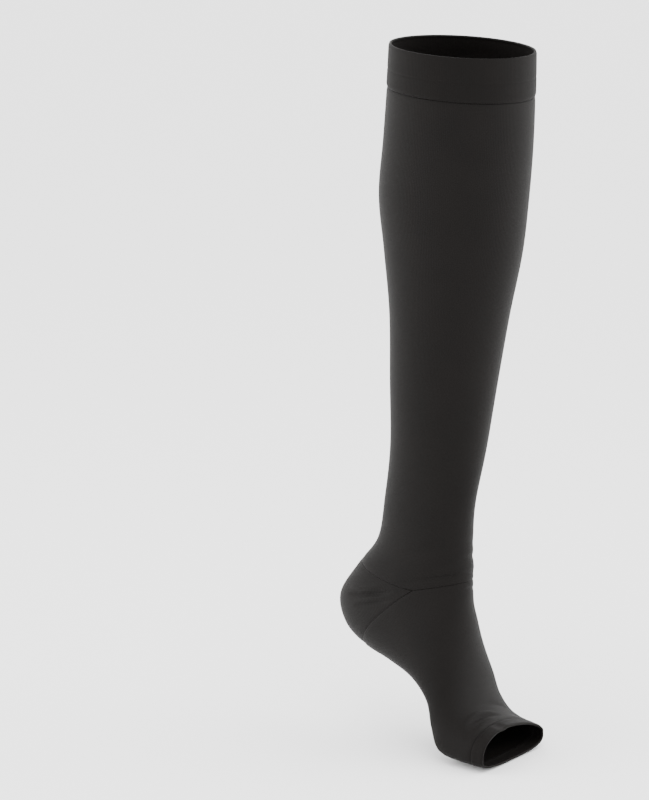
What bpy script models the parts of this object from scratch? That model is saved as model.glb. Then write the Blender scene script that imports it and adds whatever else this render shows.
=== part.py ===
"""Open-toe, below-knee compression stocking, worn and hollow, on a foot that stands on its ball.

The stocking is one seamless circular-knit tube. Its surface is a loft through the sections of SECTIONS,
and each piece is a stretch of that surface between two course lines, given a wall with Solidify.

Frame: +Z up, -Y forward (towards the toes), +X to the outer side of this left stocking.
The origin is the middle of the top opening, where the leg holds the stocking up.
"""

import math
from collections import namedtuple

import bmesh
import bpy
import numpy as np
from mathutils import Vector

MM = 0.001

# Wall thicknesses and other cloth sizes, in millimetres
LEG_WALL = 1.0
HEEL_WALL = 1.2
FOOT_WALL = 1.0
TOE_BAND_WALL = 1.5
TOP_BAND_WALL = 1.8
BAND_PROUD = 0.4  # the double bands stand this far out of the single knit
TOP_BAND_HEIGHT = 34.0
TOE_BAND_HEIGHT = 11.0
TOE_SET_BACK = 11.0  # the toe opening slants: its outer side lies this far behind its inner side
SEAM_GAP = 0.3
GORE_GAP = 0.4  # the same gap taken along the tube, because the gore lines run slantwise
SEAM_ROW = 1.5  # height of the narrow row of faces along each seam

# Faces round the tube and along each piece
APEX_ANGLE = 65.0  # where the two gore lines of the heel meet, in degrees round from the front
APEX_STEP = 1.6  # the heel pocket's pointed ends stop this many degrees short of there
FRONT_FACES = 14  # round the front, between the two apexes
BACK_FACES = 24  # round the heel pocket
BAND_ROWS = 5
LEG_ROWS = 22
HEEL_ROWS = 9
FOOT_ROWS = 14

# The outer surface, from the top edge to the toe opening, in millimetres. A section is a closed curve through
# a front point (shin or instep) and a back point (calf, heel or sole), each given as a distance forward of the
# origin and a height above it. side is how far its middle lies towards +X, and widest is where along the
# front-to-back chord it is widest. tilt lowers the front half on the +X side and raises it on the other, and
# back_full is the squircle exponent of the back half, where 2 is an ellipse.
Section = namedtuple("Section", "place front front_z back back_z width side widest tilt back_full")
SECTIONS = [
    Section("top edge", 55, -4, -55, 4, 112, 0, 0.50, 0.00, 2.0),
    Section("band", 52, -34, -61, -29, 112, 4, 0.50, 0.00, 2.0),
    Section("upper calf", 49, -75, -68, -71, 111, 7, 0.50, 0.00, 2.0),
    Section("full calf", 46, -117, -73, -115, 109, 7, 0.50, 0.00, 2.0),
    Section("calf foot", 43, -158, -67, -158, 101, 5, 0.50, 0.00, 2.0),
    Section("lower leg", 37, -205, -59, -205, 88, 0, 0.50, 0.00, 2.0),
    Section("small of leg", 31, -258, -57, -258, 76, -4, 0.50, 0.00, 2.0),
    Section("above ankle", 26, -308, -55, -310, 65, -8, 0.50, 0.00, 2.0),
    Section("ankle", 23, -348, -58, -354, 54, -14, 0.50, 0.00, 2.0),
    Section("achilles", 22, -374, -62, -385, 56, -16, 0.49, 0.00, 2.1),
    Section("upper heel", 24, -395, -79, -408, 61, -18, 0.47, 0.00, 2.3),
    Section("back of heel", 25, -408, -98, -436, 63, -19, 0.45, 0.00, 2.3),
    Section("under heel", 26, -417, -90, -459, 64, -20, 0.45, 0.02, 2.4),
    Section("heel seat", 27, -426, -67, -473, 64, -21, 0.46, 0.04, 2.4),
    Section("arch", 29, -438, -40, -480, 66, -21, 0.50, 0.06, 2.4),
    Section("instep", 32, -455, -12, -489, 68, -21, 0.55, 0.12, 2.4),
    Section("mid foot", 35, -474, 8, -504, 73, -20, 0.58, 0.20, 2.5),
    Section("fore foot", 38, -490, 18, -523, 80, -20, 0.60, 0.28, 2.7),
    Section("ball", 45, -503, 31, -537, 89, -20, 0.60, 0.33, 3.2),
    Section("toe roots", 59, -510, 55, -540, 90, -20, 0.60, 0.33, 3.2),
    Section("toe edge", 78, -513, 78, -540, 87, -20, 0.60, 0.33, 3.2),
]
COLUMNS = np.array([row[1:] for row in SECTIONS], float)
LAST = len(SECTIONS) - 1
SMALL_STEP = 0.01  # for slopes of the surface, in sections or radians


def station(place):
    """The number of a named section, which is its place along the tube."""
    return [row.place for row in SECTIONS].index(place)


APEX = math.radians(APEX_ANGLE)
HEEL_MIDDLE = station("back of heel")  # the gore lines leave this line at the two apexes
HEEL_TOP = station("upper heel") - 0.3  # where the upper gore line crosses the back of the ankle
HEEL_FRONT = station("heel seat") + 0.15  # where the lower gore line crosses the sole


def section_at(along):
    """The section's measures at any place along the tube, on a smooth curve through the table's rows."""
    i = int(min(max(math.floor(along), 0), LAST - 1))
    t = along - i
    here, following = COLUMNS[i], COLUMNS[i + 1]
    before = COLUMNS[i - 1] if i > 0 else 2 * here - following
    after = COLUMNS[i + 2] if i + 2 <= LAST else 2 * following - here
    slope_here = (following - before) / 2
    slope_following = (after - here) / 2
    return (
        (2 * t**3 - 3 * t**2 + 1) * here
        + (t**3 - 2 * t**2 + t) * slope_here
        + (3 * t**2 - 2 * t**3) * following
        + (t**3 - t**2) * slope_following
    )


def surface(along, angle):
    """The point of the knit at a place along the tube and an angle round it: 0 in front, 90 degrees on +X."""
    front, front_z, back, back_z, width, side, widest, tilt, back_full = section_at(along)
    chord = np.array([front - back, front_z - back_z])
    middle = np.array([front, front_z]) - widest * chord
    towards_front, towards_side = math.cos(angle), math.sin(angle)
    if towards_front > 0:
        full = 2
        share = widest * (1 - tilt * towards_side)
    else:
        full = back_full
        share = 1 - widest
    reach = (abs(towards_front) ** full + abs(towards_side) ** full) ** (-1 / full)
    forward, height = middle + chord * share * towards_front * reach
    return np.array([side + width / 2 * towards_side * reach, -forward, height])


def moved_along(along, angle, distance):
    """The place that lies distance millimetres further along the knit."""
    ahead, behind = surface(along + SMALL_STEP, angle), surface(along - SMALL_STEP, angle)
    return along + distance * 2 * SMALL_STEP / np.linalg.norm(ahead - behind)


def moved_out(along, angle, distance):
    """The point distance millimetres outside the surface, along its normal."""
    down = surface(along + SMALL_STEP, angle) - surface(along - SMALL_STEP, angle)
    round_it = surface(along, angle + SMALL_STEP) - surface(along, angle - SMALL_STEP)
    normal = np.cross(down, round_it)
    return surface(along, angle) + distance * normal / np.linalg.norm(normal)


# Course lines, each a function from the angle round the tube to the place along it


def top_edge(angle):
    return 0.0


def band_line(angle):
    return moved_along(top_edge(angle), angle, TOP_BAND_HEIGHT)


def upper_gore(angle):
    return gore_line(angle, HEEL_TOP)


def lower_gore(angle):
    return gore_line(angle, HEEL_FRONT)


def gore_line(angle, crossing):
    """From HEEL_MIDDLE at the apexes, and in front of them, to the crossing at the back."""
    from_back = abs(math.pi - angle % (2 * math.pi))
    share = max(0.0, 1 - from_back / (math.pi - APEX))
    return HEEL_MIDDLE + (crossing - HEEL_MIDDLE) * math.sin(math.pi / 2 * share)


def toe_edge(angle):
    """The toe opening's edge, further back on the outer side of the foot."""
    return moved_along(LAST, angle, -TOE_SET_BACK * (1 + math.sin(angle)) / 2)


def toe_line(angle):
    return moved_along(toe_edge(angle), angle, -TOE_BAND_HEIGHT)


def shifted(line, distance):
    """The course line moved along the knit."""
    return lambda angle: moved_along(line(angle), angle, distance)


def grid_of(angles, start, end, rows, proud=0.0):
    """Rows of points from the course line start to the course line end, with a narrow row along both."""
    columns = []
    for angle in angles:
        first, last = start(angle), end(angle)
        length = np.linalg.norm(surface(last, angle) - surface(first, angle))
        seam_row = min(SEAM_ROW, length / rows)
        inner_first = moved_along(first, angle, seam_row)
        inner_last = moved_along(last, angle, -seam_row)
        places = [first, *np.linspace(inner_first, inner_last, rows - 1), last]
        columns.append([moved_out(place, angle, proud) for place in places])
    return list(zip(*columns))


def knit_piece(name, grid, closed, wall, material):
    """One piece of cloth: the grid's surface, closed round the tube or not, with its wall on the inside."""
    bm = bmesh.new()
    rows = [[bm.verts.new(Vector(point) * MM) for point in row] for row in grid]
    count = len(rows[0])
    for upper, lower in zip(rows, rows[1:]):
        for j in range(count if closed else count - 1):
            k = (j + 1) % count
            bm.faces.new((upper[j], lower[j], lower[k], upper[k]))
    mesh = bpy.data.meshes.new(name)
    bm.to_mesh(mesh)
    bm.free()
    mesh.materials.append(material)
    mesh.shade_smooth()
    piece = bpy.data.objects.new(name, mesh)
    stocking.objects.link(piece)
    solidify = piece.modifiers.new("wall", "SOLIDIFY")
    solidify.thickness = wall * MM
    solidify.offset = -1
    solidify.use_even_offset = True


def knit_material(name, colour, roughness):
    material = bpy.data.materials.new(name)
    material.use_nodes = True
    shader = material.node_tree.nodes["Principled BSDF"]
    shader.inputs["Base Color"].default_value = (*colour, 1.0)
    shader.inputs["Roughness"].default_value = roughness
    shader.inputs["Metallic"].default_value = 0.0
    return material


for old in list(bpy.data.objects):
    bpy.data.objects.remove(old)
stocking = bpy.data.collections.new("compression_stocking")
bpy.context.scene.collection.children.link(stocking)

# Each piece has its own material: the single knit of the leg and foot, the denser heel, and the double bands.
top_band_knit = knit_material("top_band_knit", (0.010, 0.009, 0.009), 0.80)
leg_knit = knit_material("leg_knit", (0.012, 0.0105, 0.0105), 0.75)
heel_knit = knit_material("heel_knit", (0.012, 0.0105, 0.0105), 0.75)
foot_knit = knit_material("foot_knit", (0.012, 0.0105, 0.0105), 0.75)
toe_band_knit = knit_material("toe_band_knit", (0.010, 0.009, 0.009), 0.80)

# The columns lie closer at the apexes, so that the pocket's pointed ends meet the leg and the foot.
front_columns = np.linspace(-APEX_ANGLE, APEX_ANGLE, FRONT_FACES + 1)
pocket_columns = np.linspace(APEX_ANGLE + APEX_STEP, 360 - APEX_ANGLE - APEX_STEP, BACK_FACES + 1)
pocket_angles = np.radians(pocket_columns)
all_round = np.radians([*front_columns, *pocket_columns])
half_seam = SEAM_GAP / 2
half_gore = GORE_GAP / 2

top_band = grid_of(all_round, top_edge, shifted(band_line, -half_seam), BAND_ROWS, BAND_PROUD)
leg = grid_of(all_round, shifted(band_line, half_seam), shifted(upper_gore, -half_gore), LEG_ROWS)
heel = grid_of(pocket_angles, shifted(upper_gore, half_gore), shifted(lower_gore, -half_gore), HEEL_ROWS)
foot = grid_of(all_round, shifted(lower_gore, half_gore), shifted(toe_line, -half_seam), FOOT_ROWS)
toe_band = grid_of(all_round, shifted(toe_line, half_seam), toe_edge, BAND_ROWS, BAND_PROUD)

knit_piece("top_band", top_band, True, TOP_BAND_WALL, top_band_knit)
knit_piece("leg", leg, True, LEG_WALL, leg_knit)
knit_piece("heel", heel, False, HEEL_WALL, heel_knit)
knit_piece("foot", foot, True, FOOT_WALL, foot_knit)
knit_piece("toe_band", toe_band, True, TOE_BAND_WALL, toe_band_knit)
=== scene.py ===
import math
from collections import namedtuple

import bmesh
import bpy
import numpy as np
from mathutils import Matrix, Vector


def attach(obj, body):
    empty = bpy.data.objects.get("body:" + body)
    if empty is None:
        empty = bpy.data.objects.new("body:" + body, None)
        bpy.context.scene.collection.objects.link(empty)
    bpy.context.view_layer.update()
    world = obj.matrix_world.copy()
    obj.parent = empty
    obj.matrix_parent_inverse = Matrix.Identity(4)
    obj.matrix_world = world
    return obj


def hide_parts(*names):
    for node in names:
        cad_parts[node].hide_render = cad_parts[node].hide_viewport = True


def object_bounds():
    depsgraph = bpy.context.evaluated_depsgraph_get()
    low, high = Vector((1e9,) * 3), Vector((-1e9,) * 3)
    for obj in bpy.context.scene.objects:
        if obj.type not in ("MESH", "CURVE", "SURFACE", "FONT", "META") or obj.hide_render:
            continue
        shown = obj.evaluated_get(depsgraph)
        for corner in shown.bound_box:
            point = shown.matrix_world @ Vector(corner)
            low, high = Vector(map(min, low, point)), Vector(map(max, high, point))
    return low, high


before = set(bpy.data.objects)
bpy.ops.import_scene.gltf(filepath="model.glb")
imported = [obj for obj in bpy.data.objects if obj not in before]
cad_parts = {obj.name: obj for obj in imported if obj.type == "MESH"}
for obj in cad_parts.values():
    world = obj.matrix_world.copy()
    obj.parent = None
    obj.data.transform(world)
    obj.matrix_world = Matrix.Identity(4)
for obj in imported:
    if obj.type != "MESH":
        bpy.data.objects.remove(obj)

cad_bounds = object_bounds()

# ---------------------------------------------------------------- leg
# The stocking's leg, from under the top band to the ankle: one layer of plain elastic knit in
# near-black nylon and elastane yarn, knitted in the round without a seam.
# The folds in front of the ankle, and the line where the leg meets the foot there, are guesses.

MM = 0.001
FACES_ROUND = 160  # round the whole tube
MEAN_RADIUS = 45.0  # millimetres, for the stitches' place round the tube
LEG_WALL = 1.0
LEG_ROWS = 190

# The outer surface from the top edge to the toe opening, in millimetres. Each section is a closed curve
# through a front and a back point, given as a distance forward of the origin and a height above it. side is
# how far its middle lies towards +X, widest is where along the front-to-back chord it is widest, tilt lowers
# the front half on the +X side, and back_full is the squircle exponent of the back half (2 is an ellipse).
Section = namedtuple("Section", "place front front_z back back_z width side widest tilt back_full")
SECTIONS = [
    Section("top edge", 55, -4, -55, 4, 112, 0, 0.50, 0.00, 2.0),
    Section("band", 52, -34, -61, -29, 112, 4, 0.50, 0.00, 2.0),
    Section("upper calf", 49, -75, -68, -71, 111, 7, 0.50, 0.00, 2.0),
    Section("full calf", 46, -117, -73, -115, 109, 7, 0.50, 0.00, 2.0),
    Section("calf foot", 43, -158, -67, -158, 101, 5, 0.50, 0.00, 2.0),
    Section("lower leg", 37, -205, -59, -205, 88, 0, 0.50, 0.00, 2.0),
    Section("small of leg", 31, -258, -57, -258, 76, -4, 0.50, 0.00, 2.0),
    Section("above ankle", 26, -308, -55, -310, 65, -8, 0.50, 0.00, 2.0),
    Section("ankle", 23, -348, -58, -354, 54, -14, 0.50, 0.00, 2.0),
    Section("achilles", 22, -374, -62, -385, 56, -16, 0.49, 0.00, 2.1),
    Section("upper heel", 24, -395, -79, -408, 61, -18, 0.47, 0.00, 2.3),
    Section("back of heel", 25, -408, -98, -436, 63, -19, 0.45, 0.00, 2.3),
    Section("under heel", 26, -417, -90, -459, 64, -20, 0.45, 0.02, 2.4),
    Section("heel seat", 27, -426, -67, -473, 64, -21, 0.46, 0.04, 2.4),
    Section("arch", 29, -438, -40, -480, 66, -21, 0.50, 0.06, 2.4),
    Section("instep", 32, -455, -12, -489, 68, -21, 0.55, 0.12, 2.4),
    Section("mid foot", 35, -474, 8, -504, 73, -20, 0.58, 0.20, 2.5),
    Section("fore foot", 38, -490, 18, -523, 80, -20, 0.60, 0.28, 2.7),
    Section("ball", 45, -503, 31, -537, 89, -20, 0.60, 0.33, 3.2),
    Section("toe roots", 59, -510, 55, -540, 90, -20, 0.60, 0.33, 3.2),
    Section("toe edge", 78, -513, 78, -540, 87, -20, 0.60, 0.33, 3.2),
]
COLUMNS = np.array([row[1:] for row in SECTIONS], float)
LAST = len(SECTIONS) - 1
SMALL_STEP = 0.01  # for slopes of the surface, in sections or radians


def station(place):
    """The number of a named section, which is its place along the tube."""
    return [row.place for row in SECTIONS].index(place)


def section_at(along):
    """The section's measures at each place along the tube, on a smooth curve through the rows."""
    i = np.clip(np.floor(along).astype(int), 0, LAST - 1)
    t = (along - i)[..., None]
    padded = np.vstack([2 * COLUMNS[0] - COLUMNS[1], COLUMNS, 2 * COLUMNS[-1] - COLUMNS[-2]])
    before, here, following, after = padded[i], padded[i + 1], padded[i + 2], padded[i + 3]
    return (
        (2 * t**3 - 3 * t**2 + 1) * here
        + (t**3 - 2 * t**2 + t) * (following - before) / 2
        + (3 * t**2 - 2 * t**3) * following
        + (t**3 - t**2) * (after - here) / 2
    )


def surface(along, angle):
    """Points of the knit, in millimetres: angle 0 is in front and 90 degrees is on +X."""
    measures = np.moveaxis(section_at(along), -1, 0)
    front, front_z, back, back_z, width, side, widest, tilt, back_full = measures
    towards_front, towards_side = np.cos(angle), np.sin(angle)
    in_front = towards_front > 0
    full = np.where(in_front, 2.0, back_full)
    share = np.where(in_front, widest * (1 - tilt * towards_side), 1 - widest)
    reach = (np.abs(towards_front) ** full + np.abs(towards_side) ** full) ** (-1 / full)
    step = share * towards_front * reach - widest
    forward = front + (front - back) * step
    height = front_z + (front_z - back_z) * step
    return np.stack([side + width / 2 * towards_side * reach, -forward, height], axis=-1)


def moved_along(along, angle, distance):
    """The place that lies distance millimetres further along the knit."""
    ahead, behind = surface(along + SMALL_STEP, angle), surface(along - SMALL_STEP, angle)
    return along + distance * 2 * SMALL_STEP / np.linalg.norm(ahead - behind, axis=-1)


def outward(along, angle):
    """The knit's outward normal."""
    down = surface(along + SMALL_STEP, angle) - surface(along - SMALL_STEP, angle)
    round_it = surface(along, angle + SMALL_STEP) - surface(along, angle - SMALL_STEP)
    normal = np.cross(down, round_it)
    return normal / np.linalg.norm(normal, axis=-1, keepdims=True)


Fold = namedtuple("Fold", "place bend centre half_width height breadth")


def folds(along, angle, table):
    """Soft ridges, and troughs where height is negative, in millimetres off the surface.

    A fold runs round the tube at its place, half_width degrees to each side of the angle centre.
    It curves along the tube by bend at its ends, where it fades out, and is breadth sections wide."""
    total = 0
    for fold in table:
        off_centre = (np.degrees(angle) - fold.centre + 180) % 360 - 180
        share = off_centre / fold.half_width
        fade = np.clip(1 - share**2, 0, 1) ** 1.5
        across = (along - fold.place - fold.bend * share**2) / fold.breadth
        total = total + fold.height * fade * np.exp(-(across**2))
    return total


APEX_ANGLE = 65.0  # where the heel's two gore lines meet, in degrees round from the front
APEX = math.radians(APEX_ANGLE)
TOP_BAND_HEIGHT = 34.0
HEEL_MIDDLE = station("back of heel")
HEEL_TOP = station("upper heel") - 0.3  # where the upper gore line crosses the back of the ankle
HEEL_FRONT = station("heel seat") + 0.15  # where the lower gore line crosses the sole


def gore_line(angle, crossing):
    """A course line of the heel: on HEEL_MIDDLE at the apexes, and at the crossing at the back."""
    from_back = np.abs(math.pi - angle % (2 * math.pi))
    share = np.clip(1 - from_back / (math.pi - APEX), 0, 1)
    return HEEL_MIDDLE + (crossing - HEEL_MIDDLE) * np.sin(math.pi / 2 * share)


PROFILE_STEPS = 401
PROFILE_PLACES = np.linspace(0, LAST, PROFILE_STEPS)
OUTER_SIDE = surface(PROFILE_PLACES, np.full(PROFILE_STEPS, math.pi / 2))
PROFILE_LENGTHS = np.append(0, np.cumsum(np.linalg.norm(np.diff(OUTER_SIDE, axis=0), axis=1)))


def sheet_of(name, angles, start, end, rows, relief, wall, closed, material):
    """A knitted piece: a grid from the line start to the line end, with relief off the surface.

    Its UV map is in metres: round the tube at one mean radius, and along the tube's outer side. So
    the stitches are larger than stated where the tube is wide, and smaller where it is narrow."""
    count = len(angles) if closed else len(angles) - 1
    bm = bmesh.new()
    bmesh.ops.create_grid(bm, x_segments=count, y_segments=rows, size=0.5)
    around = np.append(angles, angles[0] + 2 * math.pi) if closed else angles
    column = np.array([round((v.co.x + 0.5) * count) for v in bm.verts])
    share = np.array([v.co.y + 0.5 for v in bm.verts])
    angle = np.asarray(around)[column]
    along = start(angle) + (end(angle) - start(angle)) * share
    points = surface(along, angle) + relief(along, angle, share)[:, None] * outward(along, angle)
    girth = (np.asarray(around) - around[0]) * MEAN_RADIUS
    for v, point in zip(bm.verts, points):
        v.co = Vector(point) * MM
    length = np.interp(along, PROFILE_PLACES, PROFILE_LENGTHS)
    bm.verts.index_update()
    uv = bm.loops.layers.uv.verify()
    for face in bm.faces:
        for loop in face.loops:
            i = loop.vert.index
            loop[uv].uv = (girth[column[i]] * MM, length[i] * MM)
    bm.normal_update()
    bm.faces.ensure_lookup_table()
    middle = bm.faces[len(bm.faces) // 2]
    corner = middle.verts[0].index
    out = Vector(outward(along[corner:corner + 1], angle[corner:corner + 1])[0])
    if middle.normal.dot(out) < 0:
        bmesh.ops.reverse_faces(bm, faces=bm.faces)
    bmesh.ops.remove_doubles(bm, verts=bm.verts, dist=1e-6)
    mesh = bpy.data.meshes.new(name)
    bm.to_mesh(mesh)
    bm.free()
    mesh.shade_smooth()
    mesh.materials.append(material)
    piece = bpy.data.objects.new(name, mesh)
    bpy.context.scene.collection.objects.link(piece)
    thick = piece.modifiers.new("wall", "SOLIDIFY")
    thick.thickness = wall * MM
    thick.offset = -1
    thick.use_even_offset = True
    return piece


def linear(hex_code):
    """The linear colour of an sRGB hex code."""
    parts = [int(hex_code[i:i + 2], 16) / 255 for i in (1, 3, 5)]
    return [c / 12.92 if c <= 0.04045 else ((c + 0.055) / 1.055) ** 2.4 for c in parts]


def add_node(material, kind, settings, links):
    """A node with its settings and inputs; a link is an output socket, anything else a value."""
    node = material.node_tree.nodes.new(kind)
    for key, value in settings.items():
        setattr(node, key, value)
    for key, value in links.items():
        if isinstance(value, bpy.types.NodeSocket):
            material.node_tree.links.new(value, node.inputs[key])
        else:
            node.inputs[key].default_value = value
    return node


def knit_cloth(name, base, wale, course, height, roughness, sheen):
    """Near-black elastic knit: upright wales crossed by courses (millimetres apart), with a slight sheen."""
    material = bpy.data.materials.new(name)
    material.use_nodes = True
    material.node_tree.nodes.clear()
    place = add_node(material, "ShaderNodeUVMap", {}, {})
    split = add_node(material, "ShaderNodeSeparateXYZ", {}, {0: place.outputs[0]})
    turns = add_node(material, "ShaderNodeMath", {"operation": "MULTIPLY"},
                     {0: split.outputs[0], 1: 2 * math.pi / (wale * MM)})
    ribs = add_node(material, "ShaderNodeMath", {"operation": "SINE"}, {0: turns.outputs[0]})
    steps = add_node(material, "ShaderNodeMath", {"operation": "MULTIPLY"},
                     {0: split.outputs[1], 1: 2 * math.pi / (course * MM)})
    rows = add_node(material, "ShaderNodeMath", {"operation": "SINE"}, {0: steps.outputs[0]})
    half = add_node(material, "ShaderNodeMath", {"operation": "MULTIPLY"},
                    {0: rows.outputs[0], 1: 0.5})
    loops = add_node(material, "ShaderNodeMath", {"operation": "ADD"},
                     {0: ribs.outputs[0], 1: half.outputs[0]})
    bump = add_node(material, "ShaderNodeBump", {},
                    {"Height": loops.outputs[0], "Strength": 0.35, "Distance": height * MM})
    spot = add_node(material, "ShaderNodeTexCoord", {}, {})
    cloud = add_node(material, "ShaderNodeTexNoise", {},
                     {"Vector": spot.outputs["Object"], "Scale": 35.0, "Detail": 3.0})
    shade = add_node(material, "ShaderNodeMapRange", {},
                     {0: cloud.outputs[0], 1: 0.3, 2: 0.7, 3: 0.9, 4: 1.1})
    tone = add_node(material, "ShaderNodeVectorMath", {"operation": "SCALE"},
                    {0: linear(base), "Scale": shade.outputs[0]})
    shader = add_node(material, "ShaderNodeBsdfPrincipled", {}, {
        "Base Color": tone.outputs[0], "Normal": bump.outputs[0], "Roughness": roughness,
        "Specular IOR Level": 0.08, "Sheen Weight": sheen, "Sheen Roughness": 0.45,
        "Sheen Tint": (*linear("#5c5856"), 1.0)})
    add_node(material, "ShaderNodeOutputMaterial", {}, {"Surface": shader.outputs[0]})
    return material


# Fine plain knit: it gives the eye an almost black, satin-matt surface. The real wales are taken to be
# about 0.6 mm apart, and are drawn at 1.1 mm so that they can be seen at all. The base colour is darker
# than the real yarn, to offset the bright surround.
WALE = 1.1
LEG_COURSE = 1.3
leg_knit = knit_cloth("leg_knit_elastic", "#0a0807", WALE, LEG_COURSE, 0.10, 0.62, 0.05)

all_round = np.radians(np.arange(FACES_ROUND) * 360 / FACES_ROUND - 180)


def band_line(angle):
    return moved_along(0 * angle, angle, TOP_BAND_HEIGHT)


def seam_dip(share, end, reach, depth):
    """The cloth drawn in to the line it is joined along, near the start (0) or end (1) of a piece."""
    return -depth * np.exp(-(((share - end) / reach) ** 2))


# The first four, in front of the ankle, are guesses. The last is a guess on the hidden back.
LEG_FOLDS = [
    Fold(9.2, 0.25, -20, 75, -0.7, 0.16),
    Fold(9.75, 0.30, 10, 70, -0.9, 0.15),
    Fold(10.15, 0.25, -12, 60, 0.7, 0.14),
    Fold(10.45, 0.20, -30, 62, -0.8, 0.13),
    Fold(8.3, -0.2, 160, 60, -0.5, 0.22),
]


def leg_relief(along, angle, share):
    """The leg drawn in at both joins, with its folds."""
    joins = seam_dip(share, 0, 0.006, 0.5) + seam_dip(share, 1, 0.008, 0.35)
    return joins + folds(along, angle, LEG_FOLDS)


def upper_gore(angle):
    return gore_line(angle, HEEL_TOP)


leg = sheet_of("leg_cloth", all_round, band_line, upper_gore, LEG_ROWS, leg_relief,
               LEG_WALL, True, leg_knit)
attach(leg, "root")
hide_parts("leg")

# ---------------------------------------------------------------- top_band
# The welt that holds the stocking up under the knee: the knit turned in on itself and joined down.
# It is the same yarn, doubled and so about 1.8 mm thick and firmer, with a rolled top edge.
# A thin line shows where its lower edge is joined, and a fainter one where the turned-in edge lies.

TOP_BAND_WALL = 1.8
TOP_BAND_ROWS = 48
TOP_BAND_PROUD = 0.45
BAND_COURSE = 1.0

# Doubled knit: the same almost black surface, a little duller and closer than the leg's.
band_knit = knit_cloth("top_band_double_knit", "#090706", WALE, BAND_COURSE, 0.10, 0.68, 0.04)
# Two low swells under the top edge, one on each side.
BAND_FOLDS = [
    Fold(0.35, 0.1, -44, 26, 0.35, 0.18),
    Fold(0.45, 0.1, 120, 30, 0.35, 0.18),
]


def top_edge(angle):
    return 0 * angle


def band_relief(along, angle, share):
    """The band stands a little proud, rounds in at its edges, and shows the line of its inner edge."""
    edges = seam_dip(share, 0, 0.035, 0.55) + seam_dip(share, 1, 0.035, 0.70)
    inner_edge = seam_dip(share, 0.60, 0.022, 0.28)
    return TOP_BAND_PROUD + edges + inner_edge + folds(along, angle, BAND_FOLDS)


top_band = sheet_of("top_band_cloth", all_round, top_edge, band_line, TOP_BAND_ROWS, band_relief,
                    TOP_BAND_WALL, True, band_knit)
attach(top_band, "root")
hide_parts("top_band")

# ---------------------------------------------------------------- heel
# The turned heel: a knitted pocket that cups the back and the underside of the heel.
# It is denser knit of the same yarn, made by short rows, so that it is joined to the leg and foot
# only by the two fine gore lines, which meet at a point below each ankle bone.

HEEL_WALL = 1.2
HEEL_ROWS = 72
HEEL_COLUMNS = 113
HEEL_COURSE = 1.2

# Denser knit: the same almost black surface, with slightly bolder stitches.
heel_knit = knit_cloth("heel_dense_knit", "#0a0807", WALE, HEEL_COURSE, 0.12, 0.62, 0.055)
pocket = np.radians(np.linspace(APEX_ANGLE, 360 - APEX_ANGLE, HEEL_COLUMNS))
# Two creases on each side with ridges between them. Those on the inner side (negative centre) are the
# known ones, and those on the outer side are guesses to match.
HEEL_FOLDS = [
    Fold(11.02, -0.05, -106, 24, -1.7, 0.10),
    Fold(10.76, -0.05, -112, 22, 0.9, 0.11),
    Fold(11.40, 0.02, -104, 18, -1.2, 0.09),
    Fold(11.22, 0.02, -105, 16, 0.5, 0.08),
    Fold(11.10, -0.05, 112, 26, -1.4, 0.10),
    Fold(10.82, -0.05, 116, 20, 0.7, 0.11),
    Fold(11.48, 0.04, 104, 16, -1.0, 0.09),
]


def heel_relief(along, angle, share):
    """The pocket drawn in at both gore lines, with its creases."""
    joins = seam_dip(share, 0, 0.05, 0.35) + seam_dip(share, 1, 0.05, 0.35)
    return joins + folds(along, angle, HEEL_FOLDS)


def lower_gore(angle):
    return gore_line(angle, HEEL_FRONT)


heel = sheet_of("heel_cloth", pocket, upper_gore, lower_gore, HEEL_ROWS, heel_relief,
                HEEL_WALL, False, heel_knit)
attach(heel, "root")
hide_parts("heel")

# ---------------------------------------------------------------- foot
# The foot of the stocking, from the heel's gore lines to the toe band.
# It is the same single knit as the leg, about 1 mm thick, knitted on without a seam.
# It is drawn smooth over the instep, with small folds across the ball just behind the toe band.

FOOT_WALL = 1.0
FOOT_ROWS = 120
TOE_SET_BACK = 11.0
TOE_BAND_HEIGHT = 11.0
# The same fine knit as the leg, and the same look.
foot_knit = knit_cloth("foot_knit_elastic", "#0a0807", WALE, LEG_COURSE, 0.10, 0.62, 0.05)
# The first three, on the big toe's side behind the toe band, are the known ones. The rest are guesses:
# across the ball, on its outer side, on the sole and in front of the ankle.
FOOT_FOLDS = [
    Fold(18.60, 0.15, -20, 30, -1.6, 0.12),
    Fold(18.38, 0.15, -20, 30, 0.8, 0.12),
    Fold(18.88, 0.02, -32, 20, -1.1, 0.09),
    Fold(17.90, 0.20, 15, 30, -0.6, 0.14),
    Fold(18.55, 0.20, 48, 24, -0.9, 0.11),
    Fold(18.30, 0.20, -178, 40, -0.6, 0.14),
    Fold(11.60, 0.30, 0, 50, -0.6, 0.18),
]


def toe_edge(angle):
    """The toe opening's edge, further back on the outer side of the foot."""
    return moved_along(LAST + 0 * angle, angle, -TOE_SET_BACK * (1 + np.sin(angle)) / 2)


def toe_line(angle):
    return moved_along(toe_edge(angle), angle, -TOE_BAND_HEIGHT)


def foot_relief(along, angle, share):
    """The foot drawn in at both joins, with its folds."""
    joins = seam_dip(share, 0, 0.012, 0.35) + seam_dip(share, 1, 0.012, 0.45)
    return joins + folds(along, angle, FOOT_FOLDS)


foot = sheet_of("foot_cloth", all_round, lower_gore, toe_line, FOOT_ROWS, foot_relief,
                FOOT_WALL, True, foot_knit)
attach(foot, "root")
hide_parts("foot")

# ---------------------------------------------------------------- toe_band
# The open toe's welt, a narrow double band round the ball of the foot just behind the toes.
# It is the knit turned in and joined down, about 1.5 mm thick, and its edge slants across the toes.

TOE_BAND_WALL = 1.5
TOE_BAND_ROWS = 24
TOE_BAND_PROUD = 0.40
# Doubled knit, with the top band's look.
toe_knit = knit_cloth("toe_band_double_knit", "#090706", WALE, BAND_COURSE, 0.10, 0.68, 0.04)
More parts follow.
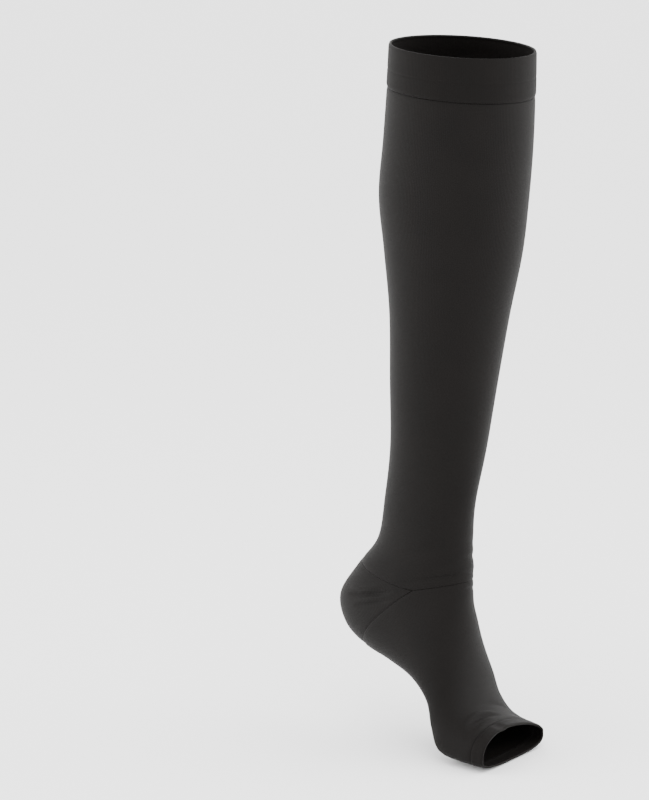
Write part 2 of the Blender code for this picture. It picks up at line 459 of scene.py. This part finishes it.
# A small notch in front, which is a guess.
TOE_FOLDS = [Fold(19.55, 0.0, -18, 9, -0.9, 0.40)]


def toe_relief(along, angle, share):
    """The welt stands a little proud and rounds in at both edges."""
    edges = seam_dip(share, 0, 0.10, 0.60) + seam_dip(share, 1, 0.09, 0.50)
    return TOE_BAND_PROUD + edges + folds(along, angle, TOE_FOLDS)


toe_band = sheet_of("toe_band_cloth", all_round, toe_line, toe_edge, TOE_BAND_ROWS, toe_relief,
                    TOE_BAND_WALL, True, toe_knit)
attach(toe_band, "root")
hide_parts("toe_band")

# ---------------------------------------------------------------- stage
# A plain white floor and surround, two broad soft lights beside the stocking and one above.
# The sides are lit more than the front, which gives the dark knit its pale edges.

FLOOR_CLEARANCE = 0.0005
FLOOR_HALF_SIDE = 30
floor_height = cad_bounds[0][2] - FLOOR_CLEARANCE
paper = bpy.data.materials.new("white_paper_floor")
paper.use_nodes = True
paper_shader = paper.node_tree.nodes["Principled BSDF"]
paper_shader.inputs["Base Color"].default_value = (*linear("#f7f7f7"), 1.0)
paper_shader.inputs["Roughness"].default_value = 0.9
bm = bmesh.new()
bmesh.ops.create_grid(bm, x_segments=1, y_segments=1, size=FLOOR_HALF_SIDE)
for v in bm.verts:
    v.co.z = floor_height
floor_mesh = bpy.data.meshes.new("floor")
bm.to_mesh(floor_mesh)
bm.free()
floor_mesh.materials.append(paper)
floor = bpy.data.objects.new("floor", floor_mesh)
bpy.context.scene.collection.objects.link(floor)

SURROUND_STRENGTH = 3.0
world = bpy.data.worlds.new("white_surround")
world.use_nodes = True
surround = world.node_tree.nodes["Background"]
surround.inputs["Color"].default_value = (1.0, 1.0, 1.0, 1.0)
surround.inputs["Strength"].default_value = SURROUND_STRENGTH
bpy.context.scene.world = world

AIM = Vector((-0.111, 0.040, -0.260))  # what the camera and the lights point at


def direction(azimuth, elevation):
    """The unit vector from AIM, for an azimuth from the front and an elevation, in degrees."""
    az, el = math.radians(azimuth), math.radians(elevation)
    return Vector((math.sin(az) * math.cos(el), -math.cos(az) * math.cos(el), math.sin(el)))


def soft_light(name, azimuth, elevation, distance, size, power):
    """A square soft light, aimed at the stocking."""
    data = bpy.data.lights.new(name, "AREA")
    data.size = size
    data.energy = power
    light = bpy.data.objects.new(name, data)
    bpy.context.scene.collection.objects.link(light)
    way = direction(azimuth, elevation)
    light.location = AIM + way * distance
    light.rotation_euler = way.to_track_quat("Z", "Y").to_euler()


soft_light("left_softbox", -135, 20, 1.6, 1.2, 14)
soft_light("right_softbox", 45, 20, 1.6, 1.2, 14)
soft_light("top_softbox", -48, 65, 1.8, 1.2, 10)

CAMERA_AZIMUTH = -48
CAMERA_ELEVATION = 12
CAMERA_DISTANCE = 2.6
FIELD_OF_VIEW = 13.2  # degrees, over the larger side
camera_data = bpy.data.cameras.new("camera")
camera_data.sensor_fit = "AUTO"
camera_data.sensor_width = 36
camera_data.angle = math.radians(FIELD_OF_VIEW)
camera = bpy.data.objects.new("camera", camera_data)
bpy.context.scene.collection.objects.link(camera)
towards = direction(CAMERA_AZIMUTH, CAMERA_ELEVATION)
camera.location = AIM + towards * CAMERA_DISTANCE
camera.rotation_euler = towards.to_track_quat("Z", "Y").to_euler()
bpy.context.scene.camera = camera
